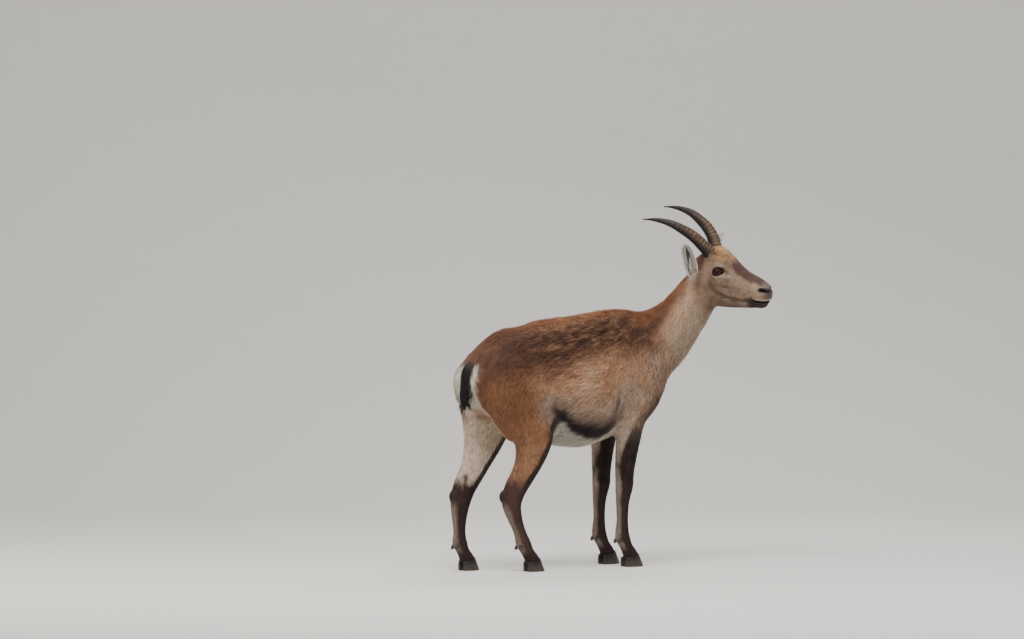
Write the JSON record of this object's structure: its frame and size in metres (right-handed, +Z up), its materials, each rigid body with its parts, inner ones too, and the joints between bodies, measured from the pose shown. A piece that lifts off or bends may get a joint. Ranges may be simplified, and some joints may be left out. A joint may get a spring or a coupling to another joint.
{
  "type": "ibex model",
  "caption": "Life-size still model of a standing female alpine ibex, its head turned over its right side, with short swept-back horns and a close coat.",
  "frame": {"origin": "on the floor under the middle of the object's bounding box", "axes": "+X the way the body faces, +Y the animal's left, +Z up; all eight hoof claws stand on z = 0"},
  "size_m": [0.9932, 0.3898, 1.0827],
  "materials": {
    "trunk_coat": "dense hair, rufous along the back, dark brown over the shoulders, tan-brown on the sides, white under the belly",
    "neck_coat": "short tan-grey hair with a rufous crest",
    "head_coat": "very short grey-beige hair, darker along the nose, pale at the lips",
    "tail_coat": "dark brown-black hair",
    "foreleg_coat": "short hair, grey-tan above, dark brown in front below",
    "hindleg_coat": "short hair, orange-tan outside, dark brown in front and below the hock",
    "ear_coat": "short pale hair",
    "eye_surface": "clear wet surface over a brown iris and a dark level pupil",
    "horn_sheath": "grey-brown horn with fine growth rings",
    "hoof_horn": "dark horn, slightly worn",
    "dewclaw_horn": "dark horn"
  },
  "bodies": {
    "root": {"trunk": "trunk_coat", "neck": "neck_coat", "head": "head_coat", "tail": "tail_coat", "leg_fore_right": "foreleg_coat", "leg_fore_left": "foreleg_coat", "leg_hind_right": "hindleg_coat", "leg_hind_left": "hindleg_coat", "ear_right": "ear_coat", "ear_left": "ear_coat", "eye_right": "eye_surface", "eye_left": "eye_surface", "horn_right": "horn_sheath", "horn_left": "horn_sheath", "hoof_hind_right_r": "hoof_horn", "dewclaw_hind_right_r": "dewclaw_horn", "hoof_hind_right_l": "hoof_horn", "dewclaw_hind_right_l": "dewclaw_horn", "hoof_hind_left_r": "hoof_horn", "dewclaw_hind_left_r": "dewclaw_horn", "hoof_hind_left_l": "hoof_horn", "dewclaw_hind_left_l": "dewclaw_horn", "hoof_fore_right_r": "hoof_horn", "dewclaw_fore_right_r": "dewclaw_horn", "hoof_fore_right_l": "hoof_horn", "dewclaw_fore_right_l": "dewclaw_horn", "hoof_fore_left_r": "hoof_horn", "dewclaw_fore_left_r": "dewclaw_horn", "hoof_fore_left_l": "hoof_horn", "dewclaw_fore_left_l": "dewclaw_horn"}
  },
  "joints": []
}
